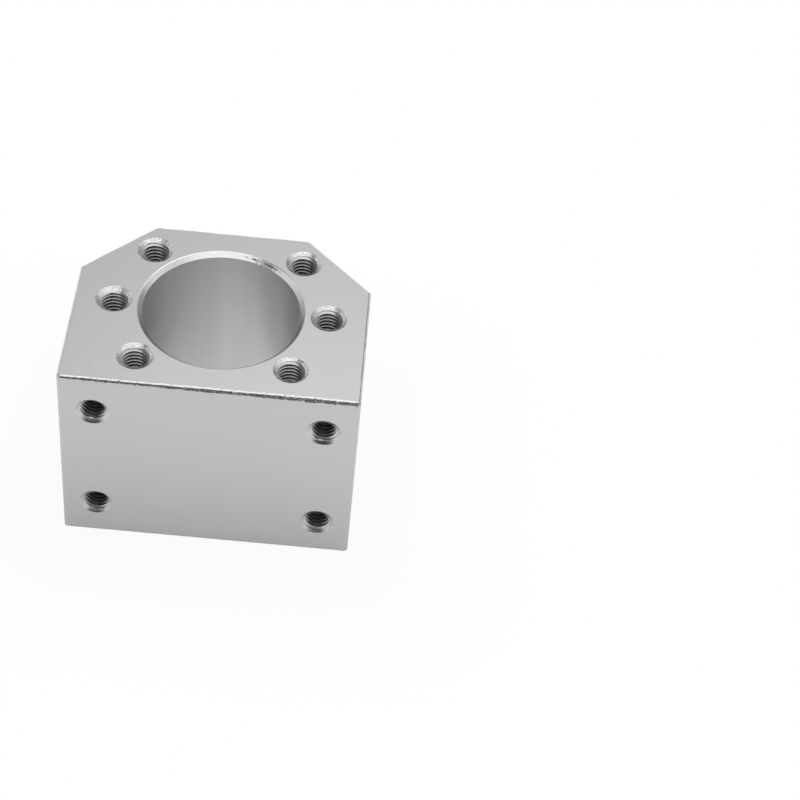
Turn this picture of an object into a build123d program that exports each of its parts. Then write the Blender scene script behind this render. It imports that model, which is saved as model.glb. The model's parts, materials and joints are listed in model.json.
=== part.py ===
from build123d import *
from math import cos, isclose, radians, sin, tan
import os

# Housing for the flange nut of a 16 mm ball screw. It is one machined block: the nut's body
# slides into the bore, its flange is screwed to the upper end face, and the block is screwed
# to a moving table.
#
# Frame, in millimetres: the origin is on the bore's axis, in the plain end face that the block
# stands on. Z runs along the bore, up to the face for the nut's flange. The mounting face looks
# along -Y, and the two long edges that are cut off lie on the +Y side.

# Block
WIDTH = 52.0  # along X
HEIGHT = 40.0  # along Y, from the mounting face to the back
LENGTH = 40.0  # along Z, from the plain end face to the flange face
BORE_HEIGHT = 20.0  # from the mounting face to the bore's axis
CORNER_CUT = 12.0  # leg of each cut corner, at 45 degrees
LONG_EDGE_RADIUS = 0.5  # on the edges along Z
END_EDGE_BREAK = 0.5  # chamfer around both end faces

# Bore for the body of the nut
BORE_DIAMETER = 28.0
BORE_CHAMFER = 0.8  # at both mouths, at 45 degrees

# Blind M5 holes, drilled to the tap drill's size
THREAD_DIAMETER = 5.0
THREAD_PITCH = 0.8
DRILLED_DEPTH = 14.0  # down to where the drill's point begins
DRILL_POINT_ANGLE = 118.0
SINK_ANGLE = 120.0  # included angle of the countersink at each mouth

# Holes for the screws of the nut's flange: three on each side of the bore
FLANGE_CIRCLE_DIAMETER = 38.0
FLANGE_HOLE_STEP = 45.0  # degrees between neighbours on one side
FLANGE_SINK_DIAMETER = 6.5

# Holes for the screws that hold the block to the table: the corners of a rectangle
MOUNT_SPACING_X = 40.0
MOUNT_SPACING_Z = 24.0
MOUNT_SINK_DIAMETER = 6.0

# Cutters start this far outside the faces that they cut
OVERSHOOT = 1.0


def block_outline():
    """The block's section: a rectangle with two corners cut off and every corner rounded."""
    left, right = -WIDTH / 2, WIDTH / 2
    front, back = -BORE_HEIGHT, HEIGHT - BORE_HEIGHT
    outline = make_face(
        Polyline(
            (left, front),
            (right, front),
            (right, back - CORNER_CUT),
            (right - CORNER_CUT, back),
            (left + CORNER_CUT, back),
            (left, back - CORNER_CUT),
            close=True,
        )
    )
    return fillet(outline.vertices(), radius=LONG_EDGE_RADIUS)


def block():
    """The solid block, with the edges of both end faces broken."""
    solid = extrude(block_outline(), amount=LENGTH)
    end_faces = solid.faces().filter_by(Axis.Z)
    return chamfer(end_faces.edges(), length=END_EDGE_BREAK)


def bored(solid):
    """The block with the bore through it, chamfered at both mouths."""
    radius = BORE_DIAMETER / 2
    drill = Pos(0, 0, LENGTH / 2) * Cylinder(radius, LENGTH + 2 * OVERSHOOT)
    solid = solid - drill
    mouths = solid.edges().filter_by(GeomType.CIRCLE).filter_by(lambda edge: isclose(edge.radius, radius))
    return chamfer(mouths, length=BORE_CHAMFER)


def tap_hole(sink_diameter):
    """Cutter for one blind hole, down -Z from a countersink with its mouth at the origin."""
    drill_radius = (THREAD_DIAMETER - THREAD_PITCH) / 2
    sink_radius = sink_diameter / 2
    sink_slope = tan(radians(SINK_ANGLE / 2))
    sink_depth = (sink_radius - drill_radius) / sink_slope
    point_length = drill_radius / tan(radians(DRILL_POINT_ANGLE / 2))
    half_section = make_face(
        Polyline(
            (0, OVERSHOOT),
            (sink_radius + OVERSHOOT * sink_slope, OVERSHOOT),
            (drill_radius, -sink_depth),
            (drill_radius, -DRILLED_DEPTH),
            (0, -DRILLED_DEPTH - point_length),
            close=True,
        )
    )
    return revolve(Plane.XZ * half_section, Axis.Z)


def flange_holes():
    """Cutters for the six holes of the nut's flange, mirrored about the plane X = 0."""
    cutter = tap_hole(FLANGE_SINK_DIAMETER)
    radius = FLANGE_CIRCLE_DIAMETER / 2
    cutters = []
    for side in (0.0, 180.0):
        for step in (-FLANGE_HOLE_STEP, 0.0, FLANGE_HOLE_STEP):
            angle = radians(side + step)
            cutters.append(Pos(radius * cos(angle), radius * sin(angle), LENGTH) * cutter)
    return cutters


def mount_holes():
    """Cutters for the four holes in the mounting face, centred along the block."""
    mounting_face = Plane(origin=(0, -BORE_HEIGHT, LENGTH / 2), x_dir=(1, 0, 0), z_dir=(0, -1, 0))
    cutter = tap_hole(MOUNT_SINK_DIAMETER)
    places = GridLocations(MOUNT_SPACING_X, MOUNT_SPACING_Z, 2, 2)
    return [mounting_face * place * cutter for place in places]


def nut_housing():
    """The finished housing."""
    return bored(block()) - flange_holes() - mount_holes()


os.makedirs("parts", exist_ok=True)
export_step(nut_housing(), "parts/nut_housing.step")
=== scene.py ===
import bmesh
import bpy
import json
import math
from mathutils import Matrix, Vector, noise
from mathutils.geometry import delaunay_2d_cdt


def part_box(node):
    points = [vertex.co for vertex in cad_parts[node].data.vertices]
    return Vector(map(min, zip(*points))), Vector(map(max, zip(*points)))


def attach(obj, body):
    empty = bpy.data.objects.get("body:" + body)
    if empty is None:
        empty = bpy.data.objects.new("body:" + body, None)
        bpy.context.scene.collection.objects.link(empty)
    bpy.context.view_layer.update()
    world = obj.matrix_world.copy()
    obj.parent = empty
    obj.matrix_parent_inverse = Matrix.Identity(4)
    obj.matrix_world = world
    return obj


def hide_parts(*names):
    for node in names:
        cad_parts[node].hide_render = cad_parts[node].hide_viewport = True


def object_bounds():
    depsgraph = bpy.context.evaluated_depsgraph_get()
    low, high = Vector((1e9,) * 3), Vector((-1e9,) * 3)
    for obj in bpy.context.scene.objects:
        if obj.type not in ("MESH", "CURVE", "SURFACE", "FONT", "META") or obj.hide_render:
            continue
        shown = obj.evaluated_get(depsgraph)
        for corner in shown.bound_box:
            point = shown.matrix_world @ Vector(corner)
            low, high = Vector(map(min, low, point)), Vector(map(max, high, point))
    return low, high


# The housing is one machined block, so it is one piece here too: the block of the frame again,
# with cut threads, chattered countersinks, uneven edge breaks and the finish of each machined
# surface. Points are worked out in millimetres and become metres when the mesh is made.

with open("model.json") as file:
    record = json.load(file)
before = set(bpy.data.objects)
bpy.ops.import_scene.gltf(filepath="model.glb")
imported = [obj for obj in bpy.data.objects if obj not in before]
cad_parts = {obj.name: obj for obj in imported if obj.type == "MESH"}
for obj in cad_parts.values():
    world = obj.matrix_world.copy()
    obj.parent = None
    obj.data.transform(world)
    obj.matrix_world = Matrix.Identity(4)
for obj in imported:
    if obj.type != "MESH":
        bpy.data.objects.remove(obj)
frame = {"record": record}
cad_low, cad_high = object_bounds()

MM = 0.001
NODE = "nut_housing"
mounts = {mount["name"]: mount for mount in frame["record"]["mounts"]}
block_low, block_high = (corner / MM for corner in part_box(NODE))

# Block, as in the frame
LEFT, FRONT, BOTTOM = block_low
RIGHT, BACK, TOP = block_high
CORNER_CUT = 12.0
# Radius of each long edge, anticlockwise from the front left one
CORNER_RADII = (0.7, 0.7, 1.3, 1.3, 1.3, 1.3)
ARC_STEP = math.radians(7.5)

# Where the material names stand in the mesh's list
BLASTED, FILED, CUT, SUNK, CHAMFERED, BORED, THREADED = range(7)

# Places that agree to this many decimals of a millimetre are one point
PLACE_DECIMALS = 4
# The triangulation keeps the triangles inside its edges, and takes nearer places for one
INSIDE_EDGES = 1
SAME_WITHIN = 1e-6
# How far apart the lines of neighbouring seeds run through the noise
SEEDS_APART = 17.3


class Shell:
    """Points and faces of one closed mesh, in millimetres."""

    def __init__(self):
        self.points = []
        self.marks = []
        self.places = {}
        self.faces = []
        self.finishes = []

    def point(self, place, mark=None):
        """The number of the point at that place. A mark is its place in a tool's path."""
        key = tuple(round(value, PLACE_DECIMALS) for value in place)
        if key not in self.places:
            self.places[key] = len(self.points)
            self.points.append(place)
            self.marks.append((0.0, 0.0, 0.0))
        number = self.places[key]
        if mark is not None:
            self.marks[number] = mark
        return number

    def face(self, corners, finish):
        """One face. Corners that fell together count once, and what has no area is left out."""
        distinct = list(dict.fromkeys(corners))
        if len(distinct) > 2:
            self.faces.append(distinct)
            self.finishes.append(finish)

    def band(self, first, second, finish):
        """A closed band of faces between two rows of points."""
        count = len(first)
        for i in range(count):
            j = (i + 1) % count
            self.face([first[i], first[j], second[j], second[i]], finish)

    def flat(self, outer, holes, across, up, finish):
        """A flat face inside the outer loop of points, with the other loops as holes in it."""

        def in_plane(loop):
            return [Vector((self.points[n][across], self.points[n][up])) for n in loop]

        numbers = []
        edges = []
        for loop in [outer] + holes:
            start = len(numbers)
            edges += [(start + i, start + (i + 1) % len(loop)) for i in range(len(loop))]
            numbers += loop
        rings = [in_plane(hole) for hole in holes]
        made = delaunay_2d_cdt(in_plane(numbers), edges, [], INSIDE_EDGES, SAME_WITHIN)
        places, triangles, origins = made[0], made[2], made[3]
        for triangle in triangles:
            middle = sum((places[i] for i in triangle), Vector((0, 0))) / 3
            if not any(inside(middle, hole) for hole in rings):
                self.face([numbers[origins[i][0]] for i in triangle], finish)

    def mesh(self, name):
        """The finished mesh, in metres, with its marks as an attribute for the shaders."""
        mesh = bpy.data.meshes.new(name)
        places = [[value * MM for value in place] for place in self.points]
        mesh.from_pydata(places, [], self.faces)
        mesh.polygons.foreach_set("material_index", self.finishes)
        marks = mesh.attributes.new("tool_path", "FLOAT_VECTOR", "POINT")
        marks.data.foreach_set("vector", [value for mark in self.marks for value in mark])
        work = bmesh.new()
        work.from_mesh(mesh)
        bmesh.ops.recalc_face_normals(work, faces=work.faces)
        work.to_mesh(mesh)
        work.free()
        return mesh


def inside(place, ring):
    """Whether a place in the plane lies inside a ring of points."""
    found = False
    for a, b in zip(ring, ring[1:] + ring[:1]):
        if (a.y > place.y) != (b.y > place.y):
            if place.x < (b.x - a.x) * (place.y - a.y) / (b.y - a.y) + a.x:
                found = not found
    return found


def mix(a, b, share):
    return a + (b - a) * share


def ramp(value, start, end):
    """A smooth step from 0 at start to 1 at end."""
    share = min(max((value - start) / (end - start), 0.0), 1.0)
    return share * share * (3 - 2 * share)


def rough(place, scale, seed):
    """Smooth noise from -1 to 1 along a line, with waves of about that scale."""
    return noise.noise(Vector((place / scale, SEEDS_APART * seed, 0.5)))


def uneven(place, waves, seed=0):
    """A factor of about 1 along a line. Each wave is its strength, its scale and its seed."""
    factor = 1
    for strength, scale, own_seed in waves:
        factor += strength * rough(place, scale, seed + own_seed)
    return factor


# The block's section: one point after another, anticlockwise from the front left corner

SIDE_NAMES = ["front", "right", "right_cut", "back", "left_cut", "left"]
SIDE_STEP = 0.5
FRONT_STEP = 0.12
# How far in from the wall an edge break may reach: at a corner, as a share of its radius, then
# along a side, and how far from the corner it reaches that
CORNER_ROOM = 0.85
SIDE_ROOM = 1.5
ROOM_GROWS_OVER = 2.0


class SectionPoint:
    """A point of the section, with its outward direction, its side and the room for a break."""

    def __init__(self, place, outward, side, from_corner, corner_radius):
        self.place = place
        self.outward = outward
        self.side = side
        on_side = ramp(from_corner, 0.0, ROOM_GROWS_OVER)
        self.room = mix(CORNER_ROOM * corner_radius, SIDE_ROOM, on_side)

    def inward(self, inset, height):
        x, y = self.place - self.outward * inset
        return (x, y, height)


def section():
    corners = [
        Vector((LEFT, FRONT)),
        Vector((RIGHT, FRONT)),
        Vector((RIGHT, BACK - CORNER_CUT)),
        Vector((RIGHT - CORNER_CUT, BACK)),
        Vector((LEFT + CORNER_CUT, BACK)),
        Vector((LEFT, BACK - CORNER_CUT)),
    ]
    sides = len(corners)
    points = []
    for number, name in enumerate(SIDE_NAMES):
        start, end = corners[number], corners[(number + 1) % sides]
        after = corners[(number + 2) % sides]
        start_radius, end_radius = CORNER_RADII[number], CORNER_RADII[(number + 1) % sides]
        along = (end - start).normalized()
        next_along = (after - end).normalized()
        before = (start - corners[number - 1]).normalized()
        outward = Vector((along.y, -along.x))
        first = start_radius * math.tan(before.angle(along) / 2)
        turn = along.angle(next_along)
        last = end_radius * math.tan(turn / 2)
        length = (end - start).length - first - last
        count = round(length / (FRONT_STEP if name == "front" else SIDE_STEP))
        for i in range(count + 1):
            way = length * i / count
            from_corner = min(way, length - way)
            radius = start_radius if way < length / 2 else end_radius
            place = start + along * (first + way)
            points.append(SectionPoint(place, outward, name, from_corner, radius))
        centre = end - along * last - outward * end_radius
        steps = round(turn / ARC_STEP)
        corner_name = "corner" if name in ("front", "left") else "back_corner"
        for i in range(1, steps):
            angle = turn * i / steps
            direction = outward * math.cos(angle) + along * math.sin(angle)
            place = centre + direction * end_radius
            points.append(SectionPoint(place, direction, corner_name, 0.0, end_radius))
    return points


# Edge breaks, from the end face to the wall. Their sizes are how far in from the wall and how far
# down from the end face they reach, and their shape has the shares of both at each of its points.

BREAK_SIZES = {
    "left": 0.40,
    "right": 0.45,
    "corner": 0.50,
    "front": 0.55,
    "back_corner": 0.68,
    "back": 0.70,
    "left_cut": 0.66,
    "right_cut": 0.66,
}
BREAK_SHAPE = [(1.0, 0.0), (0.63, 0.26), (0.27, 0.62), (0.0, 1.0)]
BREAK_FINISHES = (FILED, FILED, BLASTED)
INSET_WAVES = [(0.10, 4.0, 0), (0.06, 1.1, 1)]
DROP_WAVES = [(0.10, 3.0, 2), (0.08, 0.9, 3)]
TOP_SEED = 1
BOTTOM_SEED = 11

# The break over the mounting face has a bright upper facet, a steep ragged one and a last light
# stroke that rolls off into the face: their sizes at its left and right ends, their slopes and
# what makes them uneven. It comes in where the wall's direction has this share towards the front.
FACES_FRONT = (0.3, 0.8)
UPPER_FACET = (0.26, 0.32)
STEEP_FACET = (0.38, 0.70)
ROLL_OFF = (0.12, 0.12)
UPPER_SLOPE = math.radians(24.0)
STEEP_SLOPE = math.radians(64.0)
ROLL_OFF_SLOPE = math.radians(78.0)
UPPER_WAVES = [(0.35, 0.4, 8)]
STEEP_WAVES = [(0.32, 0.5, 6), (0.2, 2.2, 7)]
ROLL_OFF_WAVES = [(0.3, 0.8, 5)]


def plain_break(point, number, seed):
    """A hand-dressed edge: an uneven chamfer with softened borders."""
    way = number * SIDE_STEP
    size = BREAK_SIZES[point.side]
    inset = min(size * uneven(way, INSET_WAVES, seed), point.room)
    drop = size * uneven(way, DROP_WAVES, seed)
    return [(inset * i, drop * d) for i, d in BREAK_SHAPE]


def front_break(point, number):
    """The break over the mounting face, wider to the right. Elsewhere the break is a plain one."""
    plain = plain_break(point, number, TOP_SEED)
    share = ramp(-point.outward.y, *FACES_FRONT)
    if share == 0:
        return plain
    along = point.place.x - LEFT
    way = along / (RIGHT - LEFT)
    roll_off = mix(*ROLL_OFF, way) * uneven(along, ROLL_OFF_WAVES)
    steep = mix(*STEEP_FACET, way) * uneven(along, STEEP_WAVES)
    upper = mix(*UPPER_FACET, way) * uneven(along, UPPER_WAVES)
    middle_inset = roll_off + steep * math.cos(STEEP_SLOPE)
    upper_inset = middle_inset + upper * math.cos(UPPER_SLOPE)
    middle_drop = upper * math.sin(UPPER_SLOPE)
    lower_drop = middle_drop + steep * math.sin(STEEP_SLOPE)
    end_drop = lower_drop + roll_off * math.tan(ROLL_OFF_SLOPE)
    insets = (upper_inset, middle_inset, roll_off, 0.0)
    drops = (0.0, middle_drop, lower_drop, end_drop)
    return [
        (mix(plain_inset, min(inset, point.room), share), mix(plain_drop, drop, share))
        for (plain_inset, plain_drop), inset, drop in zip(plain, insets, drops)
    ]


def edge_break(shell, points, breaks, height, sense):
    """The faces of one end's break. Returns the loop at the end face and the loop on the wall."""
    rows = []
    for level in range(len(BREAK_SHAPE)):
        row = []
        for point, depths in zip(points, breaks):
            inset, drop = depths[level]
            row.append(shell.point(point.inward(inset, height - sense * drop)))
        rows.append(row)
    for upper, lower, finish in zip(rows, rows[1:], BREAK_FINISHES):
        shell.band(upper, lower, finish)
    return rows[0], rows[-1]


def walls(shell, points, upper, lower, front_holes):
    """The flat walls between both breaks, and the rounded long edges between the walls."""
    count = len(points)
    for name in SIDE_NAMES:
        on_side = [i for i, point in enumerate(points) if point.side == name]
        loop = [upper[i] for i in on_side] + [lower[i] for i in reversed(on_side)]
        across = 1 if name in ("right", "left") else 0
        shell.flat(loop, front_holes if name == "front" else [], across, 2, BLASTED)
        i = on_side[-1]
        while True:
            j = (i + 1) % count
            shell.face([upper[i], upper[j], lower[j], lower[i]], BLASTED)
            i = j
            if points[i].side in SIDE_NAMES:
                break


# Bore

BORE_RADIUS = mounts["nut_bore"]["dims"]["r_mm"]
BORE_CHAMFER = (TOP - BOTTOM - mounts["nut_bore"]["dims"]["length_mm"]) / 2
BORE_SIDES = 432
# The chamfer's outer edge, dulled by the blasting
MOUTH_EDGE_WIDENS = 0.10
MOUTH_EDGE_DEPTH = 0.07
# Grooves along the chamfer on one stretch of it: each one's share of the chamfer's depth and how
# far off the chamfer's cone it lies, the angles at which all grow to full and fade out again,
# and how strong they are, how uneven and in what waves
BORE_GROOVES = [(0.3, -0.03), (0.62, 0.05)]
GROOVES_START = (math.radians(42.0), math.radians(56.0))
GROOVES_END = (math.radians(94.0), math.radians(72.0))
GROOVE_STRENGTH = 0.9
GROOVE_UNEVEN = 1.6
GROOVE_WAVE = 0.35


def ring(shell, radius, height, groove=0.0):
    """A ring of points of the bore. One stretch of it is a groove, that much too wide or narrow."""
    numbers = []
    for i in range(BORE_SIDES):
        angle = math.tau * i / BORE_SIDES
        where = ramp(angle, *GROOVES_START) * ramp(angle, *GROOVES_END)
        change = GROOVE_UNEVEN * rough(radius * angle, GROOVE_WAVE, height)
        stray = groove * where * (GROOVE_STRENGTH + change)
        place = ((radius + stray) * math.cos(angle), (radius + stray) * math.sin(angle), height)
        numbers.append(shell.point(place, place))
    return numbers


def bore(shell):
    """The bore's wall and the chamfers at both mouths. Returns the mouths, the upper one first."""
    rims = []
    inner = []
    mouth_radius = BORE_RADIUS + BORE_CHAMFER
    for end, sense in ((TOP, 1), (BOTTOM, -1)):
        mouth = ring(shell, mouth_radius + MOUTH_EDGE_WIDENS, end)
        upper = ring(shell, mouth_radius - MOUTH_EDGE_DEPTH, end - sense * MOUTH_EDGE_DEPTH)
        shell.band(mouth, upper, CHAMFERED)
        for share, groove in BORE_GROOVES:
            depth = BORE_CHAMFER * share
            row = ring(shell, mouth_radius - depth, end - sense * depth, groove)
            shell.band(upper, row, CHAMFERED)
            upper = row
        throat = ring(shell, BORE_RADIUS, end - sense * BORE_CHAMFER)
        shell.band(upper, throat, CHAMFERED)
        rims.append(mouth)
        inner.append(throat)
    shell.band(inner[0], inner[1], BORED)
    return rims


# Tapped holes: an M5 thread with its crests cut off at the tap drill's radius

THREAD_RADIUS = 2.5
THREAD_PITCH = 0.8
CREST_RADIUS = mounts["mount_bolts"]["dims"]["hole_r_mm"]
THREADED_DEPTH = 12.0
DRILLED_DEPTH = 14.0
DRILL_POINT_ANGLE = math.radians(118.0)
SINK_ANGLE = math.radians(120.0)
HOLE_SIDES = 64
RUN_OUT_TURNS = 2
# Thread profile over one pitch: distance along the axis, in 64ths of a pitch, and share of the
# thread's depth
PROFILE = [(0, 0.0), (9.5, 0.0), (19, 0.0), (28, 0.5), (37, 1.0), (46, 1.0), (55, 0.5)]
PROFILE_UNIT = 1 / 64
# Rows of the countersink between its rims, as shares of its depth, and the chatter in them: its
# depth, and the circle and the steps from hole to hole and down a hole at which its noise is read
SINK_ROWS = (0.3, 0.65)
CHATTER_DEPTH = 0.03
CHATTER_CIRCLE = 3
CHATTER_HOLES_APART = 9.0
CHATTER_ROWS_APART = 4
# The holes are numbered, the flange's first, and each one's marks start this much further on
FIRST_MOUNT_HOLE = 6
HOLE_MARKS_APART = 40.0
# Mouth radius, and the share of a turn at which the thread starts: the flange's holes by their
# angle in degrees, and the mounting holes by side and end
FLANGE_HOLES = {
    0: (3.25, 0.2),
    45: (3.25, 0.3),
    135: (3.25, 0.1),
    180: (3.25, 0.6),
    225: (3.25, 0.0),
    315: (3.1, 0.3),
}
MOUNT_HOLES = {
    (-1, 1): (2.95, 0.2),
    (1, 1): (3.05, 0.5),
    (-1, -1): (2.95, 0.4),
    (1, -1): (3.05, 0.8),
}


class Hole:
    """One tapped hole: where its mouth is, and the directions across it and into the block."""

    def __init__(self, number, centre, inward, mouth_radius, start, finish):
        self.number = number
        self.finish = finish
        self.centre = Vector(centre)
        self.inward = Vector(inward)
        self.right = Vector((1, 0, 0))
        self.over = self.inward.cross(self.right)
        self.mouth_radius = mouth_radius
        self.start_angle = math.tau * start
        self.slope = 1 / math.tan(SINK_ANGLE / 2)

    def sink_radius(self, depth):
        return self.mouth_radius - depth / self.slope

    def sink_depth(self, radius):
        return (self.mouth_radius - radius) * self.slope

    def point(self, shell, column, radius, depth):
        angle = self.start_angle + math.tau * column / HOLE_SIDES
        round_the_hole = self.right * math.cos(angle) + self.over * math.sin(angle)
        place = self.centre + round_the_hole * radius + self.inward * depth
        mark_depth = depth + HOLE_MARKS_APART * self.number
        mark = (radius * math.cos(angle), radius * math.sin(angle), mark_depth)
        return shell.point(tuple(place), mark)

    def ring(self, shell, radius, depth):
        return [self.point(shell, i, radius, depth) for i in range(HOLE_SIDES)]


def sink(shell, hole):
    """The countersink down to the thread's full radius, with its chatter. Returns its mouth."""
    mouth = hole.ring(shell, hole.mouth_radius, 0.0)
    depth = hole.sink_depth(THREAD_RADIUS)
    upper = mouth
    for share in SINK_ROWS:
        row = []
        for i in range(HOLE_SIDES):
            angle = math.tau * i / HOLE_SIDES
            chatter = CHATTER_DEPTH * noise.noise(Vector((
                CHATTER_CIRCLE * math.cos(angle),
                CHATTER_CIRCLE * math.sin(angle),
                CHATTER_HOLES_APART * hole.number + CHATTER_ROWS_APART * share,
            )))
            radius = hole.sink_radius(depth * share) + chatter
            row.append(hole.point(shell, i, radius, depth * share))
        shell.band(upper, row, hole.finish)
        upper = row
    throat = hole.ring(shell, THREAD_RADIUS, depth)
    shell.band(upper, throat, hole.finish)
    return mouth


def thread(shell, hole):
    """The right-hand thread below the countersink, fading out at its end. Returns its last ring.

    It has a turn too many at each end, and what lies beyond an end is pressed flat into it.
    """
    start = hole.sink_depth(THREAD_RADIUS)
    turns = math.ceil((THREADED_DEPTH - start) / THREAD_PITCH) + 2
    rows = []
    for turn in range(turns):
        for along, share in PROFILE:
            row = []
            for i in range(HOLE_SIDES):
                shift = along * PROFILE_UNIT + turn - 1 + i / HOLE_SIDES
                depth = min(max(start + shift * THREAD_PITCH, start), THREADED_DEPTH)
                left = (THREADED_DEPTH - depth) / (RUN_OUT_TURNS * THREAD_PITCH)
                cut = CREST_RADIUS + (THREAD_RADIUS - CREST_RADIUS) * share * min(left, 1.0)
                row.append(hole.point(shell, i, max(cut, hole.sink_radius(depth)), depth))
            rows.append(row)
    for number in range(len(rows) - 1):
        this, following = rows[number], rows[number + 1]
        for i in range(HOLE_SIDES - 1):
            shell.face([this[i], this[i + 1], following[i + 1], following[i]], THREADED)
        if number + 1 + len(PROFILE) < len(rows):
            round_again = rows[number + len(PROFILE)][0]
            after_it = rows[number + 1 + len(PROFILE)][0]
            shell.face([this[-1], round_again, after_it, following[-1]], THREADED)
    return hole.ring(shell, CREST_RADIUS, THREADED_DEPTH)


def tapped_hole(shell, hole):
    """A whole blind hole. Returns its mouth."""
    mouth = sink(shell, hole)
    thread_end = thread(shell, hole)
    drilled_end = hole.ring(shell, CREST_RADIUS, DRILLED_DEPTH)
    shell.band(thread_end, drilled_end, THREADED)
    point_depth = DRILLED_DEPTH + CREST_RADIUS / math.tan(DRILL_POINT_ANGLE / 2)
    tip = hole.point(shell, 0, 0.0, point_depth)
    shell.band(drilled_end, [tip] * HOLE_SIDES, THREADED)
    return mouth


def flange_holes(shell):
    radius = mounts["nut_flange_bolts_side"]["dims"]["spacing_x_mm"] / 2
    mouths = []
    for number, (degrees, (mouth_radius, start)) in enumerate(FLANGE_HOLES.items()):
        angle = math.radians(degrees)
        centre = (radius * math.cos(angle), radius * math.sin(angle), TOP)
        hole = Hole(number, centre, (0, 0, -1), mouth_radius, start, CUT)
        mouths.append(tapped_hole(shell, hole))
    return mouths


def mount_holes(shell):
    dims = mounts["mount_bolts"]["dims"]
    middle = mounts["mount_bolts"]["pos_m"][2] / MM
    mouths = []
    numbered = enumerate(MOUNT_HOLES.items(), FIRST_MOUNT_HOLE)
    for number, ((side, end), (mouth_radius, start)) in numbered:
        over, up = side * dims["spacing_x_mm"] / 2, end * dims["spacing_y_mm"] / 2
        centre = (over, FRONT, middle + up)
        hole = Hole(number, centre, (0, 1, 0), mouth_radius, start, SUNK)
        mouths.append(tapped_hole(shell, hole))
    return mouths


def housing():
    """The whole block as one closed mesh."""
    shell = Shell()
    rims = bore(shell)
    top_mouths = flange_holes(shell)
    front_mouths = mount_holes(shell)
    points = section()
    top_breaks = [front_break(point, i) for i, point in enumerate(points)]
    bottom_breaks = [plain_break(point, i, BOTTOM_SEED) for i, point in enumerate(points)]
    top_loop, wall_top = edge_break(shell, points, top_breaks, TOP, 1)
    bottom_loop, wall_bottom = edge_break(shell, points, bottom_breaks, BOTTOM, -1)
    shell.flat(top_loop, [rims[0]] + top_mouths, 0, 1, BLASTED)
    shell.flat(bottom_loop, [rims[1]], 0, 1, BLASTED)
    walls(shell, points, wall_top, wall_bottom, front_mouths)
    return shell.mesh("housing_machined")


# Shaders

SHARE = (0.0, 1.0)
# What nearly all of the noise lies between
NOISE_SPAN = (0.3, 0.7)


class Nodes:
    """Short calls to make the nodes of one material or world."""

    def __init__(self, tree):
        self.tree = tree
        self.tree.nodes.clear()

    def add(self, kind, inputs=None, **settings):
        node = self.tree.nodes.new(kind)
        for name, value in settings.items():
            setattr(node, name, value)
        for name, value in (inputs or {}).items():
            if isinstance(value, bpy.types.NodeSocket):
                self.tree.links.new(value, node.inputs[name])
            else:
                node.inputs[name].default_value = value
        return node

    def surface(self, shader, output_kind):
        self.tree.links.new(shader.outputs[0], self.add(output_kind).inputs["Surface"])

    def noise(self, vector, scale=1.0, detail=2.0, roughness=0.6):
        inputs = {"Vector": vector, "Scale": scale, "Detail": detail, "Roughness": roughness}
        return self.add("ShaderNodeTexNoise", inputs).outputs["Fac"]

    def range(self, value, span, results=SHARE, kind="LINEAR"):
        """Takes a value from the span to the results, and stops at their ends."""
        inputs = {"Value": value, "From Min": span[0], "From Max": span[1]}
        inputs.update({"To Min": results[0], "To Max": results[1]})
        return self.add("ShaderNodeMapRange", inputs, interpolation_type=kind).outputs["Result"]

    def smooth(self, value, span, results=SHARE):
        return self.range(value, span, results, "SMOOTHSTEP")

    def math(self, operation, *values):
        inputs = dict(enumerate(values))
        return self.add("ShaderNodeMath", inputs, operation=operation).outputs[0]

    def vector(self, operation, *values):
        inputs = dict(enumerate(values))
        return self.add("ShaderNodeVectorMath", inputs, operation=operation).outputs

    def blend(self, share, first, second):
        inputs = {"Factor": share, "A": first, "B": second}
        return self.add("ShaderNodeMix", inputs, data_type="FLOAT").outputs["Result"]

    def grey(self, value):
        inputs = {"Red": value, "Green": value, "Blue": value}
        return self.add("ShaderNodeCombineColor", inputs).outputs["Color"]

    def scaled(self, vector, factors):
        return self.vector("MULTIPLY", vector, factors)["Vector"]

    def parts(self, vector):
        return self.add("ShaderNodeSeparateXYZ", {0: vector}).outputs


class Metal(Nodes):
    """A new aluminium material, with its shader."""

    def __init__(self, name, inputs=None):
        self.material = bpy.data.materials.new(name)
        self.material.use_nodes = True
        super().__init__(self.material.node_tree)
        inputs = {"Metallic": 1.0, **(inputs or {})}
        self.shader = self.add("ShaderNodeBsdfPrincipled", inputs)
        self.surface(self.shader, "ShaderNodeOutputMaterial")

    def drive(self, name, source):
        self.tree.links.new(source, self.shader.inputs[name])

    def tone(self, value):
        self.drive("Base Color", self.grey(value))

    def bump(self, height, strength, distance):
        inputs = {"Height": height, "Strength": strength, "Distance": distance * MM}
        self.drive("Normal", self.add("ShaderNodeBump", inputs).outputs["Normal"])

    def place(self):
        """Place on the object in millimetres, for patterns."""
        return self.scaled(self.add("ShaderNodeTexCoord").outputs["Object"], (1 / MM,) * 3)

    def path(self):
        """Place in a tool's path in millimetres, for the marks of tools that turn."""
        return self.add("ShaderNodeAttribute", attribute_name="tool_path").outputs["Vector"]


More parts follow.
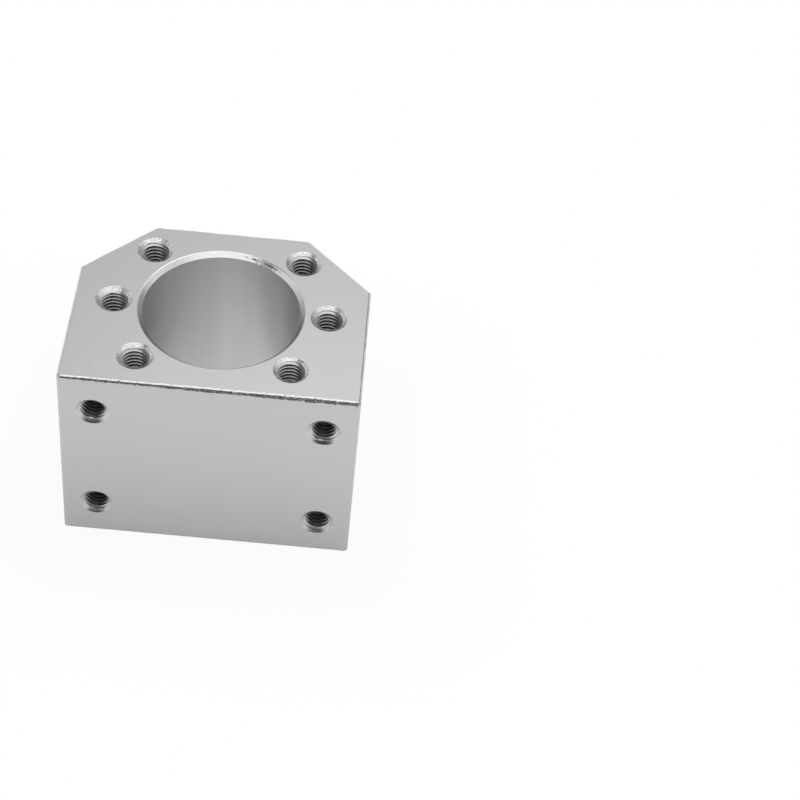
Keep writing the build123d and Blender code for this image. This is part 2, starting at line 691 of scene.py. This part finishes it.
def blasted():
    """Bead-blasted and clear-anodised faces: a fine even grain, faint clouds and handling marks.

    The mounting face has no such marks. They begin 0.5 mm behind it and are full at 2.5 mm.
    """
    metal = Metal("aluminium_blasted")
    place = metal.place()
    grain = metal.noise(place, scale=9.0, detail=3.0)
    clouds = metal.noise(place, scale=0.09, detail=3.0, roughness=0.5)
    handling = metal.noise(metal.scaled(place, (0.35, 1.1, 0.5)), roughness=0.55)
    sparse = metal.range(clouds, (0.50, 0.60))
    backward = metal.parts(place)["Y"]
    behind_front = metal.range(backward, (float(FRONT) + 0.5, float(FRONT) + 2.5))
    darker = metal.range(handling, (0.60, 0.68), (0.0, -0.035))
    marks = metal.math("MULTIPLY", metal.math("MULTIPLY", darker, sparse), behind_front)
    grain_tone = metal.range(grain, NOISE_SPAN, (0.61, 0.63))
    cloud_tone = metal.range(clouds, NOISE_SPAN, (-0.008, 0.008))
    metal.tone(metal.math("ADD", metal.math("ADD", grain_tone, cloud_tone), marks))
    metal.drive("Roughness", metal.range(clouds, NOISE_SPAN, (0.36, 0.40)))
    metal.bump(grain, strength=0.15, distance=0.02)
    return metal.material


def filed():
    """Edges broken by hand after blasting, with the short strokes of the file."""
    metal = Metal("aluminium_filed")
    strokes = metal.noise(metal.scaled(metal.place(), (4.0, 4.0, 2.0)))
    metal.tone(metal.range(strokes, NOISE_SPAN, (0.72, 0.90)))
    metal.drive("Roughness", metal.range(strokes, NOISE_SPAN, (0.24, 0.14)))
    metal.bump(strokes, strength=0.8, distance=0.045)
    return metal.material


def bright_cut(name, tones, roughnesses, depth):
    """Chamfers and countersinks, cut after blasting, with turning rings and chatter."""
    metal = Metal(name)
    path = metal.path()
    rings = metal.noise(metal.scaled(path, (0.5, 0.5, 9.0)))
    chatter = metal.noise(path, scale=2.6, detail=3.0)
    marks = metal.blend(0.6, rings, chatter)
    metal.tone(metal.range(marks, (0.38, 0.58), tones))
    metal.drive("Roughness", metal.range(chatter, NOISE_SPAN, roughnesses))
    metal.bump(marks, strength=0.9, distance=depth)
    return metal.material


def bored():
    """The bore's wall: rings too fine to see that spread light, and streaks of the anodising."""
    metal = Metal("aluminium_bored", {"Anisotropic": 0.85, "Anisotropic Rotation": 0.25})
    tangent = metal.add("ShaderNodeTangent", direction_type="RADIAL", axis="Z")
    metal.drive("Tangent", tangent.outputs[0])
    path = metal.path()
    rings = metal.noise(metal.scaled(path, (0.05, 0.05, 7.0)))
    streaks = metal.noise(metal.scaled(path, (0.35, 0.35, 0.015)), detail=3.0)
    metal.tone(metal.range(streaks, NOISE_SPAN, (0.74, 0.77)))
    metal.drive("Roughness", metal.range(streaks, NOISE_SPAN, (0.37, 0.35)))
    metal.bump(rings, strength=0.2, distance=0.01)
    return metal.material


def threaded():
    """The cut thread, with the torn grain of the tap, and painted shade in its colour.

    The shade is painted deep down and on the right side in the flange's holes, and all round deeper
    down in the mounting holes.
    """
    metal = Metal("aluminium_threaded")
    path = metal.path()
    torn = metal.noise(path, scale=4.0)
    parts = metal.parts(path)
    depth = metal.math("MODULO", parts["Z"], HOLE_MARKS_APART)
    # Painted shade: the thread's colour is darker deeper in each hole, on the right side of the
    # flange's holes, and all round deeper down in the mounting holes
    deep_shade = metal.range(depth, (0.6, 4.0), (1.0, 0.6))
    right_side_shade = metal.smooth(parts["X"], (0.4, 2.0), (1.0, 0.30))
    all_round_shade = metal.range(depth, (0.9, 2.4), (1.0, 0.5))
    first_mark = HOLE_MARKS_APART * FIRST_MOUNT_HOLE
    in_front = metal.range(parts["Z"], (first_mark - 1.0, first_mark))
    painted_shade = metal.blend(in_front, metal.math("MULTIPLY", deep_shade, right_side_shade), all_round_shade)
    metal.tone(metal.math("MULTIPLY", metal.range(torn, NOISE_SPAN, (0.56, 0.70)), painted_shade))
    metal.drive("Roughness", metal.range(torn, NOISE_SPAN, (0.30, 0.40)))
    metal.bump(torn, strength=0.3, distance=0.02)
    return metal.material


# Faces that meet at more than this angle have a sharp edge, and large ones keep their normals
SHARP_ANGLE = math.radians(11.0)
LARGE_FACE_WEIGHT = 100


def new_object(name, data):
    made = bpy.data.objects.new(name, data)
    bpy.context.scene.collection.objects.link(made)
    return made


def make_housing():
    mesh = housing()
    cut = bright_cut("aluminium_cut", (0.46, 0.84), (0.12, 0.24), 0.12)
    sunk = bright_cut("aluminium_sunk", (0.52, 0.64), (0.18, 0.30), 0.04)
    chamfered = bright_cut("aluminium_chamfered", (0.74, 0.84), (0.15, 0.27), 0.05)
    for material in (blasted(), filed(), cut, sunk, chamfered, bored(), threaded()):
        mesh.materials.append(material)
    mesh.shade_smooth()
    mesh.set_sharp_from_angle(angle=SHARP_ANGLE)
    piece = new_object("housing_machined", mesh)
    weighted = piece.modifiers.new("flat_faces_stay_flat", "WEIGHTED_NORMAL")
    weighted.keep_sharp = True
    weighted.weight = LARGE_FACE_WEIGHT
    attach(piece, "root")
    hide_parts(NODE)


# Camera: its direction, its lens and sensor, and how far the frame's origin lies to its left,
# below it and in front of it, in millimetres

CAMERA_AZIMUTH = math.radians(-1.81)
CAMERA_ELEVATION = math.radians(46.58)
CAMERA_ROLL = math.radians(6.61)
CAMERA_LENS = 94.275
CAMERA_SENSOR = 36.0
CAMERA_OVER = 34.6
CAMERA_UP = 11.2
CAMERA_AWAY = 398.3
# The nearest that it sees, in metres
CAMERA_NEAR = 0.01


def make_camera():
    level = math.cos(CAMERA_ELEVATION)
    back = Vector((
        math.sin(CAMERA_AZIMUTH) * level,
        -math.cos(CAMERA_AZIMUTH) * level,
        math.sin(CAMERA_ELEVATION),
    ))
    flat_right = Vector((math.cos(CAMERA_AZIMUTH), math.sin(CAMERA_AZIMUTH), 0))
    upright = back.cross(flat_right)
    right = flat_right * math.cos(CAMERA_ROLL) + upright * math.sin(CAMERA_ROLL)
    up = back.cross(right)
    camera = new_object("camera", bpy.data.cameras.new("camera"))
    camera.data.lens = CAMERA_LENS
    camera.data.sensor_width = CAMERA_SENSOR
    camera.data.clip_start = CAMERA_NEAR
    turned = Matrix((right, up, back)).transposed().to_4x4()
    place = (right * CAMERA_OVER + up * CAMERA_UP + back * CAMERA_AWAY) * MM
    camera.matrix_world = Matrix.Translation(place) @ turned
    bpy.context.scene.camera = camera


# Studio: a white floor, a pale room all round and a darker stretch in front of the block

# Light of the room's parts, as shares of white
LEFT_HORIZON = 0.30
RIGHT_HORIZON = 0.25
LEFT_WALL = 0.75
BACK_WALL = 0.40
RIGHT_WALL = 0.90
FRONT_HORIZON = 0.04
FRONT_SKY = 1.15
BACK_SKY_LEFT = 0.62
BACK_SKY_RIGHT = 1.06
# Where one part turns into the next, by how far a direction points to the front, right or up
BACK_TO_SIDE = (-0.5, 0.0)
SIDE_TO_FRONT = (0.1, 0.6)
HORIZON_TO_RIGHT = (-0.5, 0.5)
TO_LEFT_WALL = (-0.3, -0.6)
TO_RIGHT_WALL = (0.75, 0.92)
BACK_SKY_TO_RIGHT = (-0.6, 0.4)
HORIZON_TO_WALL = (0.05, 0.35)
FRONT_TO_SKY = (0.38, 0.66)
BACK_TO_SKY = (0.38, 0.92)
# The dark gap between two lamp screens on the left: the normal of its plane, its breadth and its
# light, where it ends on the right, and how strong it is lower down and from what height on
GAP_NORMAL = (0.769, -0.465, 0.438)
GAP_BREADTH = 0.18
GAP_LIGHT = 0.05
GAP_ENDS = (-0.35, -0.25)
GAP_LOW_STRENGTH = 0.25
GAP_RISE = (0.5, 0.8)


def make_world():
    """A pale studio: bright overhead and above the camera, dark in front at the table's height."""
    world = bpy.data.worlds.new("studio")
    bpy.context.scene.world = world
    world.use_nodes = True
    nodes = Nodes(world.node_tree)
    direction = nodes.add("ShaderNodeTexCoord").outputs["Generated"]
    parts = nodes.parts(direction)
    rightward, height = parts["X"], parts["Z"]
    frontward = nodes.math("MULTIPLY", parts["Y"], -1.0)
    in_front = nodes.smooth(frontward, SIDE_TO_FRONT)
    beside_or_in_front = nodes.smooth(frontward, BACK_TO_SIDE)
    low = nodes.smooth(rightward, HORIZON_TO_RIGHT, (LEFT_HORIZON, RIGHT_HORIZON))
    left_wall = nodes.smooth(rightward, TO_LEFT_WALL, (BACK_WALL, LEFT_WALL))
    right_wall = nodes.smooth(rightward, TO_RIGHT_WALL, (BACK_WALL, RIGHT_WALL))
    wall_rise = nodes.smooth(height, HORIZON_TO_WALL)
    side = nodes.blend(wall_rise, low, nodes.math("MAXIMUM", left_wall, right_wall))
    horizon = nodes.blend(in_front, side, FRONT_HORIZON)
    back_sky = nodes.smooth(rightward, BACK_SKY_TO_RIGHT, (BACK_SKY_LEFT, BACK_SKY_RIGHT))
    sky = nodes.blend(beside_or_in_front, back_sky, FRONT_SKY)
    front_rise = nodes.smooth(height, FRONT_TO_SKY)
    back_rise = nodes.smooth(height, BACK_TO_SKY)
    light = nodes.blend(nodes.blend(in_front, back_rise, front_rise), horizon, sky)
    off_gap = nodes.math("ABSOLUTE", nodes.vector("DOT_PRODUCT", direction, GAP_NORMAL)["Value"])
    beside_gap = nodes.smooth(off_gap, (GAP_BREADTH / 2, GAP_BREADTH), (GAP_LIGHT, 1.0))
    on_left = nodes.smooth(rightward, GAP_ENDS, (1.0, 0.0))
    high_up = nodes.smooth(height, GAP_RISE, (GAP_LOW_STRENGTH, 1.0))
    gap = nodes.blend(nodes.math("MULTIPLY", on_left, high_up), 1.0, beside_gap)
    light = nodes.math("MULTIPLY", light, gap)
    to_camera = nodes.add("ShaderNodeLightPath").outputs["Is Camera Ray"]
    seen = nodes.grey(nodes.blend(to_camera, light, 1.0))
    background = nodes.add("ShaderNodeBackground", {"Color": seen, "Strength": 1.0})
    nodes.surface(background, "ShaderNodeOutputWorld")


# Soft box close behind the block: it shades the flange face from the front right to the back
# left. Its place and size are in metres.

BOX_PLACE = Vector((0.015, 0.13, 0.265))
BOX_SIZE = 0.18
BOX_RADIANCE = 0.5


def make_soft_box():
    light = bpy.data.lights.new("soft_box", "AREA")
    light.shape = "DISK"
    light.size = BOX_SIZE
    light.energy = math.pi * BOX_RADIANCE * math.pi * BOX_SIZE ** 2 / 4
    box = new_object("soft_box", light)
    box.location = BOX_PLACE
    box.rotation_mode = "QUATERNION"
    box.rotation_quaternion = (-BOX_PLACE).to_track_quat("-Z", "Y")
    box.visible_camera = False


# Floor, in metres, and its own light, as shares of white

FLOOR_SIZE = 3.0
PAPER = (0.9, 0.9, 0.9, 1)
WHITE = (1, 1, 1, 1)
# What the camera sees of it, from the block outwards
SEEN_SPAN = (0.0, 0.04)
SEEN_LIGHT = (0.92, 1.0)
# What the block mirrors of it, from the block outwards. Right under the block there is none.
MIRRORED_SPAN = (0.0, 0.03)
MIRRORED_LIGHT = (0.25, 0.9)
UNDER_SPAN = (0.0, 0.001)
# Painted light: the floor under the bore glows for what the bore mirrors of it, brighter on the
# left than on the right, and where that glow ends around the bore's axis
BORE_FLOOR_SPAN = (-0.014, 0.014)
BORE_FLOOR_LIGHT = (1.0, 0.38)
BORE_FLOOR_EDGE = (0.013, 0.015)


def white_paper():
    """Shines by itself further away, so the background is white, and keeps the block's shadow.
    Under the bore it glows for mirrored rays, as painted light that is brighter on the left.
    """
    material = bpy.data.materials.new("floor_white")
    material.use_nodes = True
    nodes = Nodes(material.node_tree)
    place = nodes.add("ShaderNodeTexCoord").outputs["Object"]
    past_block = nodes.vector("SUBTRACT", nodes.vector("ABSOLUTE", place)[0], tuple(cad_high))[0]
    distance = nodes.vector("LENGTH", nodes.vector("MAXIMUM", past_block, (0, 0, 0))[0])["Value"]
    from_axis = nodes.vector("LENGTH", place)["Value"]
    ray = nodes.add("ShaderNodeLightPath").outputs
    seen_light = nodes.smooth(distance, SEEN_SPAN, SEEN_LIGHT)
    seen = nodes.math("MULTIPLY", ray["Is Camera Ray"], seen_light)
    mirrored = nodes.math("MAXIMUM", ray["Is Glossy Ray"], ray["Is Transmission Ray"])
    rightward = nodes.parts(place)["X"]
    # Painted light: the floor under the bore glows for mirrored rays, brighter on the left than on
    # the right
    under_bore = nodes.range(from_axis, BORE_FLOOR_EDGE, (1.0, 0.0))
    painted_bore_light = nodes.range(rightward, BORE_FLOOR_SPAN, BORE_FLOOR_LIGHT)
    under = nodes.math("MULTIPLY", under_bore, painted_bore_light)
    around_light = nodes.range(distance, MIRRORED_SPAN, MIRRORED_LIGHT)
    around = nodes.math("MULTIPLY", around_light, nodes.range(distance, UNDER_SPAN))
    mirrored = nodes.math("MULTIPLY", mirrored, nodes.math("MAXIMUM", under, around))
    paper = nodes.add("ShaderNodeBsdfDiffuse", {"Color": PAPER})
    white = nodes.add("ShaderNodeEmission", {"Color": WHITE, "Strength": 1.0})
    shares = {0: nodes.math("MAXIMUM", seen, mirrored), 1: paper.outputs[0], 2: white.outputs[0]}
    nodes.surface(nodes.add("ShaderNodeMixShader", shares), "ShaderNodeOutputMaterial")
    return material


def make_floor():
    mesh = bpy.data.meshes.new("floor")
    half = FLOOR_SIZE / 2
    corners = [(-half, -half, 0), (half, -half, 0), (half, half, 0), (-half, half, 0)]
    mesh.from_pydata(corners, [], [(0, 1, 2, 3)])
    floor = new_object("floor", mesh)
    mesh.materials.append(white_paper())


make_camera()
make_world()
make_soft_box()
make_floor()
make_housing()

bpy.context.scene.view_settings.view_transform = "Standard"
